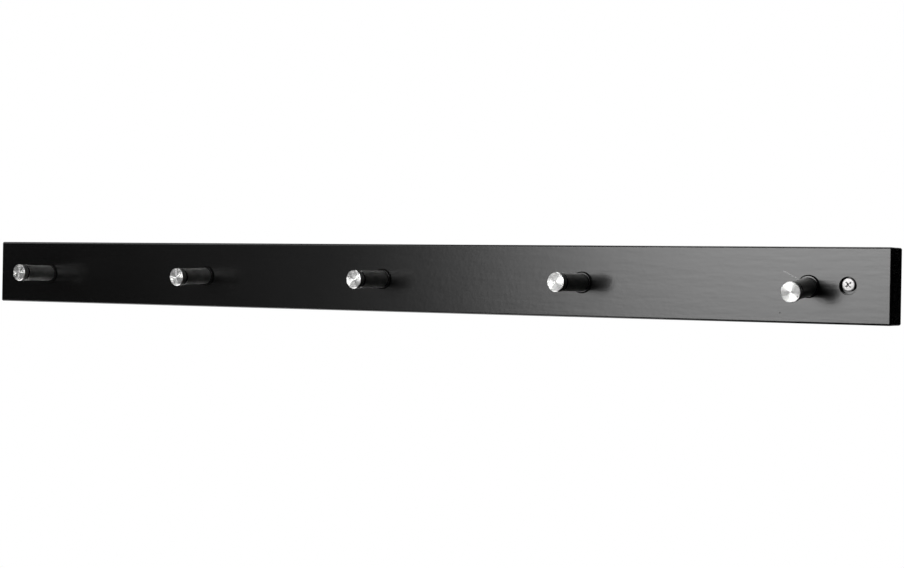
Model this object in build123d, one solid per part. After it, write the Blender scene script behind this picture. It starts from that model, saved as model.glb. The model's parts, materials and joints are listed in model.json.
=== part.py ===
from build123d import *
import os
from math import cos, radians, sin, sqrt

# Coat hook rail: a lacquered board with a row of turned steel pegs, screwed to a wall.
# All sizes are millimetres. The origin is the centre of the board's back face, on the wall.
# +X runs along the rail, +Z is up, and the pegs stand out towards -Y.

# Board
board_length = 700.0
board_height = 45.0
board_thickness = 18.0
edge_radius = 1.2

# Row of pegs, named from the left end as seen from the front
end_peg_inset = 50.0  # from each end of the board to the nearest peg
peg_line = -0.7  # height of the row above the board's centre line
peg_droop = (0.0, 2.0, 1.0, 0.0, 6.0)  # degrees each peg sags below square
peg_swing = (0.0, 0.0, -1.3, -1.8, 3.5)  # degrees each peg leans towards the right end
peg_drift = (0.0, 0.0, 0.4, 0.7, 0.0)  # how far to the right of its even place each peg stands

# Turned peg, from its foot to the face of its head
peg_length = 31.5
body_diameter = 11.2
head_lip = 0.4  # how far the head stands out past the body
head_length = 4.1
groove_width = 1.8
groove_depth = 0.9
face_chamfer = 0.4
back_chamfer = 0.2
foot_chamfer = 0.3
tapped_spare = 2.0  # tapped hole left past the end of the screw
drill_point_length = 1.0

# Washer at the foot of each peg
washer_lip = 1.2  # how far the washer shows past the body
washer_thickness = 1.0
washer_hole_clearance = 0.5
washer_chamfer = 0.3

# Machine screw that holds each peg from behind
peg_screw_diameter = 4.0
peg_screw_engagement = 8.0
peg_screw_end_chamfer = 0.5
peg_screw_head_diameter = 8.0
peg_screw_head_rim = 1.4  # straight side of the head, below its rounding
peg_screw_head_rounding = 1.6
thread_clearance = 0.05
peg_hole_clearance = 0.25
pocket_clearance = 0.5
pocket_sink = 2.0  # how far the head lies below the board's back

# Wall screw near each end of the board
wall_screw_inset = 26.0
wall_screw_turns = (12.0, 47.0)  # degrees each cross recess stands turned, left screw first
wall_screw_diameter = 4.0
wall_thread_step = 0.5  # height of the thread above the plain shank
wall_shank_stand = 1.0  # plain shank that shows behind the board before the thread starts
wall_screw_grip = 25.0  # length that reaches into the wall, point included
wall_point_length = 5.0
wall_head_diameter = 7.8
wall_head_rim = 1.7
wall_head_rounding = 0.7
wall_head_sink = 0.6  # how far the head lies below the board's front
wall_hole_clearance = 0.75
counterbore_clearance = 1.2
counterbore_edge_break = 0.3
hang_clearance = 0.05  # left between the thread and the top of its hole, as the board hangs

# Cross recess of both kinds of screw
recess_span = 4.4
recess_floor = 1.4
recess_slot = 0.9
recess_depth = 1.7

# Cutters run this far past the surface that they open through
cutter_overrun = 5.0

# Sizes that follow from the ones above
peg_pitch = (board_length - 2 * end_peg_inset) / (len(peg_droop) - 1)
first_peg_place = end_peg_inset - board_length / 2
peg_places = [first_peg_place + i * peg_pitch + drift for i, drift in enumerate(peg_drift)]
wall_screw_places = (wall_screw_inset - board_length / 2, board_length / 2 - wall_screw_inset)
peg_screw_head_height = peg_screw_head_rim + peg_screw_head_rounding
peg_seat_depth = board_thickness - peg_screw_head_height - pocket_sink
peg_screw_length = peg_seat_depth + washer_thickness + peg_screw_engagement
wall_head_height = wall_head_rim + wall_head_rounding
counterbore_depth = wall_head_height + wall_head_sink
wall_seat_depth = board_thickness - counterbore_depth
wall_screw_length = wall_seat_depth + wall_screw_grip
wall_screw_rise = wall_hole_clearance - hang_clearance


def turned(*points):
    """A solid turned about Z from its half section, given as (radius, height) points."""
    return revolve(Plane.XZ * make_face(Polyline(*points, close=True)), Axis.Z)


def peg_direction(droop, swing):
    """Unit vector along a peg, out of the board, sagged and swung by the given degrees."""
    down = radians(droop)
    side = radians(swing)
    return Vector(sin(side), -cos(down) * cos(side), -sin(down) * cos(side))


def peg_plane(place, direction):
    """Plane square to a peg's axis, where that axis leaves the board's front face."""
    across = Vector(0, 0, 1).cross(direction)
    return Plane(origin=(place, -board_thickness, peg_line), x_dir=across, z_dir=direction)


def peg_stand_off(direction):
    """Height of a peg's foot up its own axis, with the foot's low edge resting on the washer."""
    lean_cosine = -direction.Y
    lean_sine = sqrt(1 - lean_cosine**2)
    foot_radius = body_diameter / 2 - foot_chamfer
    return (washer_thickness + foot_radius * lean_sine) / lean_cosine


def turned_peg():
    """One peg on Z, foot at 0, with the groove behind its head and the tapped hole in its foot."""
    body_radius = body_diameter / 2
    head_radius = body_radius + head_lip
    groove_radius = body_radius - groove_depth
    tapped_depth = peg_screw_engagement + tapped_spare
    tapped_radius = peg_screw_diameter / 2 + thread_clearance
    head_back = peg_length - head_length
    groove_back = head_back - groove_width
    return turned(
        (tapped_radius, 0),
        (body_radius - foot_chamfer, 0),
        (body_radius, foot_chamfer),
        (body_radius, groove_back),
        (groove_radius, groove_back),
        (groove_radius, head_back),
        (head_radius - back_chamfer, head_back),
        (head_radius, head_back + back_chamfer),
        (head_radius, peg_length - face_chamfer),
        (head_radius - face_chamfer, peg_length),
        (0, peg_length),
        (0, tapped_depth + drill_point_length),
        (tapped_radius, tapped_depth),
    )


def washer():
    """One washer on Z, lying on the plane at 0, its outer edge chamfered."""
    hole_radius = peg_screw_diameter / 2 + washer_hole_clearance
    disc = Cylinder(body_diameter / 2 + washer_lip, washer_thickness)
    ring = disc - Cylinder(hole_radius, washer_thickness)
    rim = ring.faces().sort_by(Axis.Z)[-1].outer_wire().edges()
    return Pos(0, 0, washer_thickness / 2) * chamfer(rim, washer_chamfer)


def pan_head(diameter, height, rounding, turn):
    """Screw head that bears on the plane at 0 and rises towards -Z, with a cross recess."""
    blank = Pos(0, 0, -height / 2) * Cylinder(diameter / 2, height)
    crown = blank.faces().sort_by(Axis.Z)[0].outer_wire().edges()
    blank = fillet(crown, rounding)
    wing_section = Polyline(
        (-recess_span / 2, -height),
        (recess_span / 2, -height),
        (recess_floor / 2, recess_depth - height),
        (-recess_floor / 2, recess_depth - height),
        close=True,
    )
    wing = extrude(Plane.XZ * make_face(wing_section), amount=recess_slot / 2, both=True)
    return blank - Rot(0, 0, turn) * wing - Rot(0, 0, turn + 90) * wing


def peg_screw():
    """Machine screw on Z with its seat at 0; its thread is a plain shank."""
    shank_radius = peg_screw_diameter / 2
    shank = turned(
        (0, 0),
        (shank_radius, 0),
        (shank_radius, peg_screw_length - peg_screw_end_chamfer),
        (shank_radius - peg_screw_end_chamfer, peg_screw_length),
        (0, peg_screw_length),
    )
    head = pan_head(peg_screw_head_diameter, peg_screw_head_height, peg_screw_head_rounding, 0)
    return head + shank


def wall_screw(turn):
    """Pointed screw on Z with its seat at 0; its thread is a plain cylinder."""
    thread_radius = wall_screw_diameter / 2
    shank_radius = thread_radius - wall_thread_step
    thread_start = wall_seat_depth + wall_shank_stand
    shank = turned(
        (0, 0),
        (shank_radius, 0),
        (shank_radius, thread_start),
        (thread_radius, thread_start),
        (thread_radius, wall_screw_length - wall_point_length),
        (0, wall_screw_length),
    )
    head = pan_head(wall_head_diameter, wall_head_height, wall_head_rounding, turn)
    return head + shank


def peg_hole():
    """Cutter for a peg's screw hole and the pocket for the screw's head, in the peg's own plane."""
    hole_radius = peg_screw_diameter / 2 + peg_hole_clearance
    pocket_radius = peg_screw_head_diameter / 2 + pocket_clearance
    return turned(
        (0, cutter_overrun),
        (hole_radius, cutter_overrun),
        (hole_radius, -peg_seat_depth),
        (pocket_radius, -peg_seat_depth),
        (pocket_radius, -board_thickness - cutter_overrun),
        (0, -board_thickness - cutter_overrun),
    )


def wall_hole():
    """Cutter for a wall screw's counterbored hole, with Z running from the front face to the wall."""
    hole_radius = wall_screw_diameter / 2 + wall_hole_clearance
    bore_radius = wall_head_diameter / 2 + counterbore_clearance
    return turned(
        (0, -cutter_overrun),
        (bore_radius + counterbore_edge_break + cutter_overrun, -cutter_overrun),
        (bore_radius, counterbore_edge_break),
        (bore_radius, counterbore_depth),
        (hole_radius, counterbore_depth),
        (hole_radius, board_thickness + cutter_overrun),
        (0, board_thickness + cutter_overrun),
    )


def into_wall(place, depth, rise):
    """Location on a wall screw's line, at a depth behind the front face, with Z into the wall."""
    return Plane(origin=(place, depth - board_thickness, rise), x_dir=(1, 0, 0), z_dir=(0, 1, 0)).location


def rail_board(planes):
    """The board with its rounded edges, peg holes and wall-screw holes."""
    blank = Box(board_length, board_thickness, board_height)
    board = Pos(0, -board_thickness / 2, 0) * fillet(blank.edges(), edge_radius)
    for plane in planes:
        board -= plane.location * peg_hole()
    for place in wall_screw_places:
        board -= into_wall(place, 0, 0) * wall_hole()
    return board


def write(name, shape):
    shape.label = name
    export_step(shape, f"parts/{name}.step")


os.makedirs("parts", exist_ok=True)
directions = [peg_direction(droop, swing) for droop, swing in zip(peg_droop, peg_swing)]
planes = [peg_plane(place, direction) for place, direction in zip(peg_places, directions)]

write("rail_board", rail_board(planes))

for number, (place, direction, plane) in enumerate(zip(peg_places, directions, planes), start=1):
    seat = Plane(origin=(place, -board_thickness, peg_line), x_dir=(1, 0, 0), z_dir=(0, -1, 0))
    write(f"peg_washer_{number}", seat.location * washer())
    write(f"peg_{number}", plane.location * Pos(0, 0, peg_stand_off(direction)) * turned_peg())

screw_seat = Pos(0, 0, -peg_seat_depth)
write("peg_screws", Compound([plane.location * screw_seat * peg_screw() for plane in planes]))

hung_screws = [
    into_wall(place, counterbore_depth, wall_screw_rise) * wall_screw(turn)
    for place, turn in zip(wall_screw_places, wall_screw_turns)
]
write("wall_screws", Compound(hung_screws))
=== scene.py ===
import bpy
import json
from math import cos, floor, pi, radians, sin
from mathutils import Matrix, Vector


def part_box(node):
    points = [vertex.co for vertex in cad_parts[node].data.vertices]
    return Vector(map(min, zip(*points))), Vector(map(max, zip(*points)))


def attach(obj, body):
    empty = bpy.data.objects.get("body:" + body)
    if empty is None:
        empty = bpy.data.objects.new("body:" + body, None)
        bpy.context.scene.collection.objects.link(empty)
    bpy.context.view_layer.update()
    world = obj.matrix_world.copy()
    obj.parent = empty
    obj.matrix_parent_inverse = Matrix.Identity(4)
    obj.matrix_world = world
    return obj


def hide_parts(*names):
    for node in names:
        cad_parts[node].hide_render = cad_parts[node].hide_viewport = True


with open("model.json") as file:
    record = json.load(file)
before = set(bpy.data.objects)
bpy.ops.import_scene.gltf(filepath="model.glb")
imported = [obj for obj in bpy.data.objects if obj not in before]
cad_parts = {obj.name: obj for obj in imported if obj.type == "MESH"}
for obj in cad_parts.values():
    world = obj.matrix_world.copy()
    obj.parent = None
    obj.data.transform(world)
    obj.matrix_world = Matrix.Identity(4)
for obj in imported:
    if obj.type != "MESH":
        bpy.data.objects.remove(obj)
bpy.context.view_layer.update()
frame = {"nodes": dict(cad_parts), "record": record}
mm = 0.001
weldGap = 0.001 * mm
noiseSpan = (0.3, 0.7)  # where most of a noise's values lie
mounts = {mount["name"]: mount for mount in frame["record"]["mounts"]}
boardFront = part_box("rail_board")[0].y
print("frame loaded:", len(frame["nodes"]), "nodes")


# Shader helpers

class Value:  # a socket that can be added, multiplied and so on
    def __init__(self, finish, socket):
        self.finish = finish
        self.socket = socket

    def math(self, operation, *others):
        inputs = dict(enumerate((self, *others)))
        return self.finish.add("ShaderNodeMath", {"operation": operation}, inputs)

    def __add__(self, other):
        return self.math("ADD", other)

    def __sub__(self, other):
        return self.math("SUBTRACT", other)

    def __mul__(self, other):
        return self.math("MULTIPLY", other)

    def __rsub__(self, other):
        return self.finish.add("ShaderNodeMath", {"operation": "SUBTRACT"}, {0: other, 1: self})

    def __gt__(self, other):
        return self.math("GREATER_THAN", other)

    def __lt__(self, other):
        return self.math("LESS_THAN", other)

    __radd__ = __add__
    __rmul__ = __mul__


class Finish:  # a node tree that is built up by expressions
    def __init__(self, tree):
        self.tree = tree
        self.tree.nodes.clear()

    def add(self, kind, settings=None, inputs=None, out=0):
        node = self.tree.nodes.new(kind)
        for name, setting in (settings or {}).items():
            setattr(node, name, setting)
        for name, given in (inputs or {}).items():
            if isinstance(given, Value):
                self.tree.links.new(given.socket, node.inputs[name])
            else:
                node.inputs[name].default_value = given
        return Value(self, node.outputs[out]) if node.outputs else None

    def vector(self, operation, *inputs, out=0):
        return self.add("ShaderNodeVectorMath", {"operation": operation}, dict(enumerate(inputs)), out)

    def scaled(self, vector, factor):
        return self.add("ShaderNodeVectorMath", {"operation": "SCALE"}, {0: vector, "Scale": factor})

    def place(self):
        return self.add("ShaderNodeTexCoord", out="Object")

    def split(self, vector):
        node = self.add("ShaderNodeSeparateXYZ", inputs={0: vector}).socket.node
        return [Value(self, socket) for socket in node.outputs]

    def joined(self, x, y, z):
        return self.add("ShaderNodeCombineXYZ", inputs={0: x, 1: y, 2: z})

    def noise(self, vector, scale, detail):
        return self.add("ShaderNodeTexNoise", inputs={"Vector": vector, "Scale": scale, "Detail": detail})

    def range(self, value, low, high, newLow, newHigh, shape="SMOOTHSTEP"):
        inputs = {0: value, 1: low, 2: high, 3: newLow, 4: newHigh}
        return self.add("ShaderNodeMapRange", {"interpolation_type": shape}, inputs)

    def fadeIn(self, value, start, stop):
        return self.range(value, start, stop, 0.0, 1.0)

    def fadeOut(self, value, start, stop):
        return self.range(value, start, stop, 1.0, 0.0)

    def spread(self, noise, low, high):  # carries a noise from low to high
        return self.range(noise, *noiseSpan, low, high)

    def blend(self, factor, first, second):
        return self.add("ShaderNodeMix", {"data_type": "RGBA"}, {0: factor, 6: first, 7: second}, 2)

    def bump(self, height, depth, strength):
        return self.add("ShaderNodeBump", inputs={"Height": height, "Distance": depth, "Strength": strength})

    def shownRays(self):  # 1 for rays that show the set, 0 for those that only light it
        path = self.add("ShaderNodeLightPath").socket.node
        kinds = ("Is Camera Ray", "Is Glossy Ray", "Is Transmission Ray")
        camera, glossy, clear = [Value(self, path.outputs[kind]) for kind in kinds]
        return (camera + glossy + clear).math("MINIMUM", 1.0)

    def principled(self, **sockets):
        named = {name.replace("_", " "): given for name, given in sockets.items()}
        return self.add("ShaderNodeBsdfPrincipled", inputs=named)

    def output(self, shader):
        self.add("ShaderNodeOutputMaterial", inputs={"Surface": shader})

    def surface(self, **sockets):
        self.output(self.principled(**sockets))


def newFinish(name):
    material = bpy.data.materials.new(name)
    material.use_nodes = True
    return material, Finish(material.node_tree)


def grey(level):
    return (level, level, level, 1.0)


def dress(piece, material):
    piece.data.materials.clear()
    piece.data.materials.append(material)


# Modelling helpers

def clearSelection():
    if bpy.context.object and bpy.context.mode != "OBJECT":
        bpy.ops.object.mode_set(mode="OBJECT")
    bpy.ops.object.select_all(action="DESELECT")


def pick(piece):
    clearSelection()
    piece.select_set(True)
    bpy.context.view_layer.objects.active = piece


def turn(name, rings, sides):  # carries a circle up through (radius, height) rings
    clearSelection()
    radius, height = rings[0]
    bpy.ops.mesh.primitive_circle_add(vertices=sides, radius=radius, location=(0, 0, height))
    piece = bpy.context.object
    piece.name = name
    bpy.ops.object.transform_apply(location=True)
    bpy.ops.object.mode_set(mode="EDIT")
    for nextRadius, nextHeight in rings[1:]:
        rise = (0, 0, nextHeight - height)
        bpy.ops.mesh.extrude_region_move(TRANSFORM_OT_translate={"value": rise})
        growth = nextRadius / radius
        if growth != 1:
            bpy.ops.transform.resize(value=(growth, growth, 1), center_override=(0, 0, 0))
        radius, height = nextRadius, nextHeight
    if rings[-1] == rings[0]:  # a ring with a hole closes on itself
        bpy.ops.mesh.select_all(action="SELECT")
        bpy.ops.mesh.remove_doubles(threshold=weldGap)
    else:
        bpy.ops.mesh.select_all(action="DESELECT")
        bpy.ops.mesh.select_non_manifold()
        bpy.ops.mesh.edge_face_add()
        bpy.ops.mesh.select_all(action="SELECT")
    bpy.ops.mesh.normals_make_consistent(inside=False)
    bpy.ops.object.mode_set(mode="OBJECT")
    return piece


def finishShading(piece, angle):
    pick(piece)
    bpy.ops.object.shade_smooth_by_angle(angle=angle)


def joinPieces(name, pieces):
    clearSelection()
    for piece in pieces:
        piece.select_set(True)
    bpy.context.view_layer.objects.active = pieces[0]
    bpy.ops.object.join()
    pieces[0].name = name
    return pieces[0]


def placed(master, name, matrix):  # a copy with its own mesh, put in place in that mesh
    piece = master.copy()
    piece.data = master.data.copy()
    piece.name = name
    piece.data.name = name
    bpy.context.scene.collection.objects.link(piece)
    piece.matrix_world = matrix
    pick(piece)
    bpy.ops.object.transform_apply(location=True, rotation=True, scale=True)
    return piece


def discard(piece):
    bpy.data.objects.remove(piece)


def standing(origin, axis):  # matrix that takes Z to the axis and the origin to its place
    turned = Vector(axis).to_track_quat("Z", "Y").to_matrix().to_4x4()
    return Matrix.Translation(origin) @ turned


# Pegs

peg = {
    "count": 5,
    "sides": 96,
    "bodyRadius": 5.6 * mm,
    "headRadius": 6.0 * mm,
    "headLength": 4.1 * mm,
    "grooveRadius": 4.7 * mm,
    "grooveWidth": 1.8 * mm,
    "faceChamfer": 0.4 * mm,
    "backChamfer": 0.2 * mm,
    "footChamfer": 0.3 * mm,
    "softEdge": 0.08 * mm,
    "tappedRadius": 2.05 * mm,
    "tappedDepth": 10.0 * mm,
    "drillPoint": 1.0 * mm,
    "drillTip": 0.02 * mm,
    "ringPitch": 0.2 * mm,  # turned rings on the face
    "ringDepth": 0.006 * mm,
    "centreRadius": 0.3 * mm,
    "smoothAngle": 0.35,
    "toolMarks": 42000,  # finer rings on the face, to a metre
    "markTilt": 4.6,  # how far those tip the light
    "faceLeans": ((0, 0), (0, 0), (0, 0), (-0.06, 0), (0, 0)),  # across and up, out of square
    "faceRoughness": 0.2,
    "sideRoughness": 0.33,
    "roughnessSpread": 0.03,
    "cloud": (260.0, 0.0),  # scale and detail
    "darkTone": (0.68, 0.68, 0.67, 1),
    "lightTone": (0.78, 0.78, 0.77, 1),
    # base colour painted into the groove, the tapped hole and under the foot as shade
    "grooveShadeTone": 0.008,
}


def pegLine(number):  # a peg's foot, axis and length, read from the frame
    mount = mounts[f"peg_{number}_hang"]
    point = Vector(mount["pos_m"])
    axis = Vector(mount["axis"]).normalized()
    node = frame["nodes"][f"peg_{number}"]
    reach = [(vertex.co - point).dot(axis) for vertex in node.data.vertices]
    return point + axis * min(reach), axis, max(reach) - min(reach)


def faceRings(face):  # fine turned rings from the chamfer in to the centre
    rings = []
    radius = peg["headRadius"] - peg["faceChamfer"]
    sunk = False
    while radius > peg["centreRadius"]:
        rings.append((radius, face - (peg["ringDepth"] if sunk else 0)))
        sunk = not sunk
        radius -= peg["ringPitch"] / 2
    return rings


def modelPeg(length):
    body, head, soft = peg["bodyRadius"], peg["headRadius"], peg["softEdge"]
    headBack = length - peg["headLength"]
    grooveBack = headBack - peg["grooveWidth"]
    rings = [
        (peg["drillTip"], peg["tappedDepth"] + peg["drillPoint"]),
        (peg["tappedRadius"], peg["tappedDepth"]),
        (peg["tappedRadius"], 0),
        (body - peg["footChamfer"], 0),
        (body, peg["footChamfer"]),
        (body, grooveBack - soft),
        (body - soft, grooveBack),
        (peg["grooveRadius"], grooveBack),
        (peg["grooveRadius"], headBack),
        (head - peg["backChamfer"], headBack),
        (head, headBack + peg["backChamfer"]),
        (head, length - peg["faceChamfer"]),
        *faceRings(length),
    ]
    piece = turn("peg_master", rings, peg["sides"])
    finishShading(piece, peg["smoothAngle"])
    return piece


def turnedSteel(number, foot, axis, length):
    material, finish = newFinish(f"turned_steel_{number}")
    place = finish.vector("SUBTRACT", finish.place(), tuple(foot))
    along = finish.vector("DOT_PRODUCT", place, tuple(axis), out="Value")
    across = finish.vector("SUBTRACT", place, finish.scaled(tuple(axis), along))
    radius = finish.vector("LENGTH", across, out="Value")
    outward = finish.vector("NORMALIZE", across)
    onFace = along > length - peg["faceChamfer"] / 2
    # marks of the tool, in rings round the face
    toolMarks = finish.noise(finish.joined(radius * peg["toolMarks"], 0.0, 0.0), 1.0, 1.0)
    ringTilt = finish.scaled(outward, (toolMarks - 0.5) * peg["markTilt"])
    leanAcross, leanUp = peg["faceLeans"][number - 1]
    tilt = finish.scaled(finish.vector("ADD", ringTilt, (leanAcross, 0, leanUp)), onFace)
    bare = finish.add("ShaderNodeNewGeometry", out="Normal")
    normal = finish.vector("NORMALIZE", finish.vector("ADD", bare, tilt))
    # slow changes of tone and roughness, and painted shade: a near-black base colour in the groove, the
    # tapped hole and under the foot
    cloud = finish.noise(place, *peg["cloud"])
    tone = finish.blend(cloud, peg["darkTone"], peg["lightTone"])
    paintedShade = (radius < peg["bodyRadius"] - peg["softEdge"] / 2) * (1 - onFace)
    tone = finish.blend(paintedShade, tone, grey(peg["grooveShadeTone"]))
    uneven = peg["roughnessSpread"]
    roughness = finish.spread(cloud, -uneven, uneven) + peg["sideRoughness"]
    roughness = roughness + onFace * (peg["faceRoughness"] - peg["sideRoughness"])
    finish.surface(Base_Color=tone, Metallic=1.0, Roughness=roughness, Normal=normal)
    return material


def makePegs():
    master = modelPeg(pegLine(1)[2])
    for number in range(1, peg["count"] + 1):
        foot, axis, length = pegLine(number)
        piece = placed(master, f"turned_peg_{number}", standing(foot, axis))
        dress(piece, turnedSteel(number, foot, axis, length))
        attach(piece, "root")
        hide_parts(f"peg_{number}")
    discard(master)


makePegs()
print("pegs turned")


# Washers

washer = {
    "sides": 96,
    "outerRadius": 6.8 * mm,
    "holeRadius": 2.5 * mm,
    "thickness": 1.0 * mm,
    "rounding": 0.3 * mm,
    "roundSteps": 5,
    "smoothAngle": 0.6,
    "speck": (2600.0, 3.0),  # scale and detail
    "darkTone": 0.0008,
    "lightTone": 0.002,
    "roughness": (0.16, 0.2),
    "dullRim": 0.75 * mm,  # width of the dull ring along the edge
    "rimRoughness": 0.6,
    "rimSpecular": 0.05,
}


def modelWasher():
    outer, hole, thick = washer["outerRadius"], washer["holeRadius"], washer["thickness"]
    edge = washer["rounding"]
    rings = [(hole, 0), (outer, 0)]
    for step in range(washer["roundSteps"] + 1):
        angle = step / washer["roundSteps"] * pi / 2
        rings.append((outer - edge + edge * cos(angle), thick - edge + edge * sin(angle)))
    rings += [(hole, thick), (hole, 0)]
    piece = turn("washer_master", rings, washer["sides"])
    finishShading(piece, washer["smoothAngle"])
    return piece


def blackWasher(middle):  # glossy on its front, dull round its rim
    material, finish = newFinish("black_washer")
    place = finish.place()
    speck = finish.noise(place, *washer["speck"])
    tone = finish.blend(speck, grey(washer["darkTone"]), grey(washer["lightTone"]))
    polished = finish.principled(Base_Color=tone, Roughness=finish.spread(speck, *washer["roughness"]))
    dull = finish.principled(
        Base_Color=tone,
        Roughness=washer["rimRoughness"],
        Specular_IOR_Level=washer["rimSpecular"],
    )
    offset = finish.vector("SUBTRACT", place, tuple(middle))
    radius = finish.vector("LENGTH", finish.vector("MULTIPLY", offset, (1, 0, 1)), out="Value")
    rim = radius > washer["outerRadius"] - washer["dullRim"]
    finish.output(finish.add("ShaderNodeMixShader", inputs={0: rim, 1: polished, 2: dull}))
    return material


def makeWashers():
    master = modelWasher()
    for number in range(1, peg["count"] + 1):
        low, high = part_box(f"peg_washer_{number}")
        seat = Vector(((low.x + high.x) / 2, high.y, (low.z + high.z) / 2))
        piece = placed(master, f"foot_washer_{number}", standing(seat, (0, -1, 0)))
        dress(piece, blackWasher(seat))
        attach(piece, "root")
        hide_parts(f"peg_washer_{number}")
    discard(master)


makeWashers()
print("washers laid")


# Screws

recess = {"span": 4.4 * mm, "floor": 1.4 * mm, "slot": 0.9 * mm, "depth": 1.7 * mm, "overrun": 0.5 * mm}

wallScrew = {
    "headRadius": 3.9 * mm,
    "headRim": 1.7 * mm,
    "headRounding": 0.7 * mm,
    "crown": 0.12 * mm,  # how far the flat of the head swells
    "shankRadius": 1.5 * mm,
    "shankLength": 16.0 * mm,
    "threadRadius": 2.0 * mm,
    "rootRadius": 1.35 * mm,
    "pitch": 1.8 * mm,
    "threadLength": 24.0 * mm,
    "pointLength": 5.0 * mm,
    "turns": (12.0, 47.0),  # degrees, left screw first
}

pegScrew = {
    "headRadius": 4.0 * mm,
    "headRim": 1.4 * mm,
    "headRounding": 1.6 * mm,
    "crown": 0.12 * mm,
    "shankRadius": 2.0 * mm,
    "shankLength": 1.0 * mm,
    "threadRadius": 2.0 * mm,
    "rootRadius": 1.62 * mm,
    "pitch": 0.7 * mm,
    "threadLength": 21.0 * mm,
    "pointLength": 0.6 * mm,
    "seatDepth": 13.0 * mm,  # below the board's front, along the peg
}

screwMesh = {
    "sides": 48,
    "threadSides": 28,
    "ringsPerTurn": 10,
    "roundSteps": 7,
    "crownSteps": 4,
    "crownMiddle": 0.01,  # share of the crown that its first ring takes in
    "threadSlope": 1.6,  # 1 makes the flanks meet at the root, more leaves a flat there
    "bluntPoint": 0.02,  # share of the thickness left at the very point
    "smoothAngle": 0.6,
}

plate = {
    "cloud": (900.0, 4.0),  # scale and detail
    "darkTone": (0.60, 0.59, 0.59, 1),
    "lightTone": (0.70, 0.69, 0.69, 1),
    "roughness": (0.54, 0.62),
    "bumpStrength": 0.2,
    "bumpDepth": 0.03 * mm,
}


def headRings(spec):  # from the middle of the crown out to the seat, with the seat at 0
    height = spec["headRim"] + spec["headRounding"]
    flat = spec["headRadius"] - spec["headRounding"]
    rings = []
    for step in range(screwMesh["crownSteps"] + 1):
        share = max(step / screwMesh["crownSteps"], screwMesh["crownMiddle"])
        rings.append((flat * share, spec["crown"] * share * share - height))
    for step in range(1, screwMesh["roundSteps"] + 1):
        angle = step / screwMesh["roundSteps"] * pi / 2
        rise = (height - spec["crown"] - spec["headRim"]) * cos(angle) + spec["headRim"]
        rings.append((flat + spec["headRounding"] * sin(angle), -rise))
    rings += [(spec["headRadius"], 0), (spec["shankRadius"], 0)]
    return rings


def cutRecess(piece, spec):  # a cross of two tapered wings
    height = spec["headRim"] + spec["headRounding"]
    top = -height - recess["overrun"]
    bottom = recess["depth"] - height
    mouth = recess["span"] + (recess["span"] - recess["floor"]) * recess["overrun"] / recess["depth"]
    for quarter in (0, pi / 2):
        clearSelection()
        bpy.ops.mesh.primitive_cube_add(size=1)
        cutter = bpy.context.object
        for vertex in cutter.data.vertices:
            span, level = (mouth, top) if vertex.co.z < 0 else (recess["floor"], bottom)
            vertex.co = (vertex.co.x * span, vertex.co.y * recess["slot"], level)
        cutter.rotation_euler.z = quarter
        bpy.ops.object.transform_apply(rotation=True)
        pick(piece)
        cut = piece.modifiers.new("recess", "BOOLEAN")
        cut.object = cutter
        cut.operation = "DIFFERENCE"
        bpy.ops.object.modifier_apply(modifier=cut.name)
        discard(cutter)


def threadedEnd(name, spec):  # a bar whose rings are pulled out along a helix
    start = spec["shankLength"]
    count = int(spec["threadLength"] / spec["pitch"] * screwMesh["ringsPerTurn"])
    step = spec["threadLength"] / count
    rings = [(spec["rootRadius"], start + i * step) for i in range(count + 1)]
    piece = turn(name, rings, screwMesh["threadSides"])
    end = start + spec["threadLength"]
    for vertex in piece.data.vertices:
        x, y, z = vertex.co
        radius = (x * x + y * y) ** 0.5
        angle = Vector((x, y)).angle_signed(Vector((1, 0)))
        phase = (z - start) / spec["pitch"] - angle / (2 * pi)
        wave = 1 - abs(2 * (phase - floor(phase)) - 1)  # 0 at the root, 1 at the crest
        crest = max(0.0, 1 - (1 - wave) * screwMesh["threadSlope"])
        taper = min(1.0, max(screwMesh["bluntPoint"], (end - z) / spec["pointLength"]))
        runIn = min(1.0, (z - start) / spec["pitch"])
        reach = spec["rootRadius"] + (spec["threadRadius"] - spec["rootRadius"]) * crest * runIn
        vertex.co.x = x / radius * reach * taper
        vertex.co.y = y / radius * reach * taper
    return piece


def modelScrew(name, spec):
    rings = headRings(spec) + [(spec["shankRadius"], spec["shankLength"])]
    piece = turn(name, rings, screwMesh["sides"])
    cutRecess(piece, spec)
    piece = joinPieces(name, [piece, threadedEnd(name + "_thread", spec)])
    finishShading(piece, screwMesh["smoothAngle"])
    return piece


def platedSteel():
    material, finish = newFinish("bright_plate")
    cloud = finish.noise(finish.place(), *plate["cloud"])
    tone = finish.blend(cloud, plate["darkTone"], plate["lightTone"])
    roughness = finish.spread(cloud, *plate["roughness"])
    bump = finish.bump(cloud, plate["bumpDepth"], plate["bumpStrength"])
    finish.surface(Base_Color=tone, Metallic=1.0, Roughness=roughness, Normal=bump)
    return material


def seatScrews(name, node, copies, material):
    piece = joinPieces(name, copies)
    dress(piece, material)
    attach(piece, "root")
    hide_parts(node)


def makeWallScrews(material):
    low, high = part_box("wall_screws")
    master = modelScrew("wall_screw_master", wallScrew)
    seat = low.y + wallScrew["headRim"] + wallScrew["headRounding"]
    level = (low.z + high.z) / 2
    ends = (low.x + wallScrew["headRadius"], high.x - wallScrew["headRadius"])
    copies = []
    for number, (end, turned) in enumerate(zip(ends, wallScrew["turns"])):
        spin = Matrix.Rotation(radians(turned), 4, "Z")
        matrix = standing((end, seat, level), (0, 1, 0)) @ spin
        copies.append(placed(master, f"wall_screw_{number}", matrix))
    discard(master)
    seatScrews("wall_screw_pair", "wall_screws", copies, material)


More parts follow.
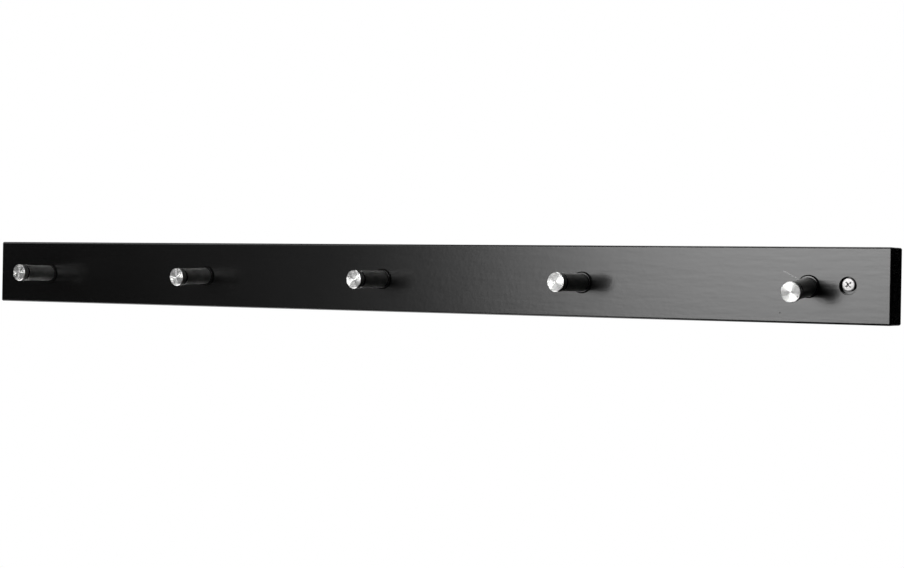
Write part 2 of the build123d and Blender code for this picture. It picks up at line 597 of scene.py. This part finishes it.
def makePegScrews(material):
    master = modelScrew("peg_screw_master", pegScrew)
    copies = []
    for number in range(1, peg["count"] + 1):
        foot, axis = pegLine(number)[:2]
        onFront = foot + axis * ((boardFront - foot.y) / axis.y)
        seat = onFront - axis * pegScrew["seatDepth"]
        copies.append(placed(master, f"peg_screw_{number}", standing(seat, axis)))
    discard(master)
    seatScrews("peg_screw_set", "peg_screws", copies, material)


brightPlate = platedSteel()
makeWallScrews(brightPlate)
makePegScrews(brightPlate)
print("screws cut")


# Board

lacquer = {
    "cloud": (14.0, 3.0),  # scale and detail
    "darkTone": 0.0008,
    "lightTone": 0.0016,
    "roughness": (0.19, 0.21),
    "specular": 0.475,
    "haze": 0.1,  # a weak, wider reflection over the first
    "hazeRoughness": 0.36,
    "grain": (300.0, 3.0),
    "grainStretch": (0.15, 1.0, 1.0),  # drawn out along the board
    "grainDepth": 0.07 * mm,
    "grainStrength": 1.0,
    "peel": (420.0, 2.0),
    "peelShare": 0.4,  # of the grain's depth
    "scratchStart": (284.5 * mm, boardFront, 8.1 * mm),
    "scratchEnd": (292.7 * mm, boardFront, 4.1 * mm),
    "scratchWidth": 0.3 * mm,
    "scratchTone": 0.12,
    "scratchShare": 0.08,  # of the grain's depth
    "speck": (282.6 * mm, boardFront, -16.5 * mm),
    "speckRadius": 0.5 * mm,
    "speckRoughness": 0.3,  # added to the rest
}


def distanceFromLine(finish, place, start, end):
    start, end = Vector(start), Vector(end)
    run = end - start
    offset = finish.vector("SUBTRACT", place, tuple(start))
    share = finish.vector("DOT_PRODUCT", offset, tuple(run / run.dot(run)), out="Value")
    share = share.math("MAXIMUM", 0.0).math("MINIMUM", 1.0)
    return finish.vector("DISTANCE", offset, finish.scaled(tuple(run), share), out="Value")


def blackLacquer():
    material, finish = newFinish("black_lacquer")
    place = finish.place()
    cloud = finish.noise(place, *lacquer["cloud"])
    tone = finish.blend(cloud, grey(lacquer["darkTone"]), grey(lacquer["lightTone"]))
    roughness = finish.spread(cloud, *lacquer["roughness"])
    # the scratch and the dull speck beside the last peg
    line = distanceFromLine(finish, place, lacquer["scratchStart"], lacquer["scratchEnd"])
    scratch = finish.fadeOut(line, lacquer["scratchWidth"] / 2, lacquer["scratchWidth"])
    tone = finish.blend(scratch, tone, grey(lacquer["scratchTone"]))
    spot = finish.vector("DISTANCE", place, lacquer["speck"], out="Value")
    speck = finish.fadeOut(spot, lacquer["speckRadius"] / 2, lacquer["speckRadius"])
    roughness = roughness + speck * lacquer["speckRoughness"]
    # grain along the board and the peel of the spray
    grain = finish.noise(finish.vector("MULTIPLY", place, lacquer["grainStretch"]), *lacquer["grain"])
    peel = finish.noise(place, *lacquer["peel"])
    height = grain + peel * lacquer["peelShare"] - scratch * lacquer["scratchShare"]
    finish.surface(
        Base_Color=tone,
        Roughness=roughness,
        Specular_IOR_Level=lacquer["specular"],
        Normal=finish.bump(height, lacquer["grainDepth"], lacquer["grainStrength"]),
        Coat_Weight=lacquer["haze"],
        Coat_Roughness=lacquer["hazeRoughness"],
    )
    return material


dress(frame["nodes"]["rail_board"], blackLacquer())
print("board lacquered")


# Softbox

softbox = {
    "centre": (-0.1355, -1.0587, 0.12),
    "aim": (0.0745, -0.0187, 0.12),
    "size": (0.971, 0.60),
    "radiance": 7.7,
    "foot": 0.5,  # share of that radiance at its lower edge
    "head": 1.5,  # and at its upper edge
    "leftFade": (0.0, 0.457),  # shares of its width over which it fades in
    "rightFade": (0.75, 0.92),  # and out again
}


def makeSoftbox():
    lamp = bpy.data.lights.new("softbox", "AREA")
    lamp.shape = "RECTANGLE"
    lamp.size, lamp.size_y = softbox["size"]
    lamp.energy = softbox["radiance"] * pi * lamp.size * lamp.size_y
    lamp.use_nodes = True
    finish = Finish(lamp.node_tree)
    across, upward = finish.split(finish.add("ShaderNodeNewGeometry", out="Parametric"))[:2]
    level = finish.range(upward, 0.0, 1.0, softbox["foot"], softbox["head"], "LINEAR")
    level = level * finish.fadeIn(across, *softbox["leftFade"])
    level = level * finish.fadeOut(across, *softbox["rightFade"])
    glow = finish.add("ShaderNodeEmission", inputs={"Color": level})
    finish.add("ShaderNodeOutputLight", inputs={"Surface": glow})
    box = bpy.data.objects.new("softbox", lamp)
    bpy.context.scene.collection.objects.link(box)
    box.location = softbox["centre"]
    aim = Vector(softbox["aim"]) - box.location
    box.rotation_euler = aim.to_track_quat("-Z", "Y").to_euler()
    box.visible_camera = False


# Floor

ground = {
    "height": -0.9,
    "size": 6.0,
    "cloud": (3.0, 2.0),  # scale and detail
    "darkTone": 0.78,
    "lightTone": 0.82,
    "roughness": 0.8,
    "whiteness": 0.5,  # glow that brings it up to the backdrop's white
}


def makeFloor():
    clearSelection()
    bpy.ops.mesh.primitive_plane_add(size=ground["size"], location=(0, 0, ground["height"]))
    plane = bpy.context.object
    plane.name = "floor"
    material, finish = newFinish("pale_floor")
    cloud = finish.noise(finish.place(), *ground["cloud"])
    tone = finish.blend(cloud, grey(ground["darkTone"]), grey(ground["lightTone"]))
    glow = finish.blend(finish.shownRays(), grey(0.0), grey(1.0))
    finish.surface(
        Base_Color=tone,
        Roughness=ground["roughness"],
        Emission_Color=glow,
        Emission_Strength=ground["whiteness"],
    )
    dress(plane, material)


# Flags: a dark tent with soft glows, each given by its level and the spans over which it fades

flags = {
    "low": (-2.4, -2.6, -0.8),
    "high": (2.4, 1.8, 1.8),
    # by direction, as parts of a unit vector from the origin
    "left": {"across": (-0.45, -0.25), "back": (-0.4, 0.0)},  # where strip and side end
    "strip": {"level": 0.15, "across": (-0.72, -0.62), "upward": (0.2, 0.4)},
    "side": {
        "levels": (2.8, 0.6),  # from the far left inwards
        "levelSpan": (-0.72, -0.5),
        "feet": (0.2, 0.15),  # lower edge, likewise
        "footSpan": (-0.72, -0.6),
        "across": (-0.9, -0.78),
        "upward": (0.0, 0.2),
    },
    "end": {"level": 0.9, "across": (-0.9, -0.78), "upward": (-0.05, 0.15), "back": (-0.1, 0.3)},
    "rear": {"level": 1.0, "back": (0.5, 0.75), "upward": (0.2, 0.32), "across": (0.15, 0.3)},
    # by place on the tent, in metres
    "ceiling": {
        "level": 3.4,
        "upward": (1.2, 1.7),
        "left": (-0.8, -0.6),
        "right": (-0.2, 0.05),
        "rightShare": 0.2,  # of the level, kept on the right
        "front": (-0.8, -0.4),
        "back": (0.3, 0.7),
    },
    "ground": {
        "level": 3.0,
        "upward": (-0.75, -0.6),
        "right": (-0.3, 0.0),
        "front": (-0.6, -0.3),
        "back": (0.2, 0.4),
    },
}


def leftGlow(finish, x, y, z):  # a low strip, and a side that grows brighter to the left
    left, strip, side = flags["left"], flags["strip"], flags["side"]
    low = finish.fadeIn(x, *strip["across"]) * finish.fadeOut(z.math("ABSOLUTE"), *strip["upward"])
    foot = finish.range(x, *side["footSpan"], *side["feet"])
    tall = finish.fadeIn(x, *side["across"]) * finish.fadeIn(z - foot, *side["upward"])
    level = low * strip["level"] + tall * finish.range(x, *side["levelSpan"], *side["levels"])
    return level * finish.fadeOut(x, *left["across"]) * finish.fadeOut(y, *left["back"])


def endGlow(finish, x, y, z):  # past the left end of the board
    end = flags["end"]
    level = finish.fadeOut(x, *end["across"]) * finish.fadeIn(z, *end["upward"])
    return level * finish.fadeOut(y, *end["back"]) * end["level"]


def rearGlow(finish, x, y, z):
    rear = flags["rear"]
    level = finish.fadeIn(y, *rear["back"]) * finish.fadeOut(z.math("ABSOLUTE"), *rear["upward"])
    return level * finish.fadeOut(x, *rear["across"]) * rear["level"]


def ceilingGlow(finish, x, y, z):
    card = flags["ceiling"]
    level = finish.fadeIn(z, *card["upward"]) * finish.fadeIn(x, *card["left"])
    level = level * finish.range(x, *card["right"], 1.0, card["rightShare"])
    return level * finish.fadeIn(y, *card["front"]) * finish.fadeOut(y, *card["back"]) * card["level"]


def groundGlow(finish, x, y, z):
    card = flags["ground"]
    level = finish.fadeOut(z, *card["upward"]) * finish.fadeOut(x, *card["right"])
    return level * finish.fadeIn(y, *card["front"]) * finish.fadeOut(y, *card["back"]) * card["level"]


def makeFlags():  # seen in reflections only
    clearSelection()
    low, high = Vector(flags["low"]), Vector(flags["high"])
    bpy.ops.mesh.primitive_cube_add(size=1, location=(low + high) / 2, scale=high - low)
    tent = bpy.context.object
    tent.name = "flags"
    material, finish = newFinish("flag_cloth")
    spot = finish.add("ShaderNodeNewGeometry", out="Position")
    direction = finish.split(finish.vector("NORMALIZE", spot))
    place = finish.split(spot)
    level = leftGlow(finish, *direction) + endGlow(finish, *direction) + rearGlow(finish, *direction)
    level = level + ceilingGlow(finish, *place) + groundGlow(finish, *place)
    finish.output(finish.add("ShaderNodeEmission", inputs={"Color": level}))
    dress(tent, material)
    for ray in ("camera", "diffuse", "transmission", "volume_scatter", "shadow"):
        setattr(tent, "visible_" + ray, False)


# Backdrop

backdrop = {"white": 1.0, "ambient": 0.4}


def makeBackdrop():  # white to the eye and in reflections, a plain level of light for the rest
    world = bpy.data.worlds.new("studio")
    bpy.context.scene.world = world
    world.use_nodes = True
    finish = Finish(world.node_tree)
    plain = finish.add("ShaderNodeBackground", inputs={"Color": grey(1.0), "Strength": backdrop["ambient"]})
    white = finish.add("ShaderNodeBackground", inputs={"Color": grey(1.0), "Strength": backdrop["white"]})
    mixed = finish.add("ShaderNodeMixShader", inputs={0: finish.shownRays(), 1: plain, 2: white})
    finish.add("ShaderNodeOutputWorld", inputs={"Surface": mixed})


makeSoftbox()
makeFloor()
makeFlags()
makeBackdrop()
print("studio lit")


# Camera

view = {
    "place": (0.70624, -1.06802, -0.000207),
    "yaw": 0.55506,  # radians to the left of straight on
    "pitch": 0.00244,  # radians down
    "roll": 0.0174,
    "focal": 1895.1,  # in pixels of a picture this wide
    "pictureWidth": 904,
    "sensor": 36.0,
}


def makeCamera():
    data = bpy.data.cameras.new("camera")
    camera = bpy.data.objects.new("camera", data)
    bpy.context.scene.collection.objects.link(camera)
    data.sensor_fit = "HORIZONTAL"
    data.sensor_width = view["sensor"]
    data.lens = view["sensor"] * view["focal"] / view["pictureWidth"]
    yaw, pitch, roll = view["yaw"], view["pitch"], view["roll"]
    ahead = Vector((-sin(yaw) * cos(pitch), cos(yaw) * cos(pitch), -sin(pitch)))
    side = Vector((cos(yaw), sin(yaw), 0))
    upward = side.cross(ahead)
    right = cos(roll) * side + sin(roll) * upward
    top = cos(roll) * upward - sin(roll) * side
    turned = Matrix((right, top, -ahead)).transposed().to_4x4()
    camera.matrix_world = Matrix.Translation(view["place"]) @ turned
    bpy.context.scene.camera = camera


makeCamera()
bpy.context.scene.view_settings.view_transform = "Standard"
print("camera set")
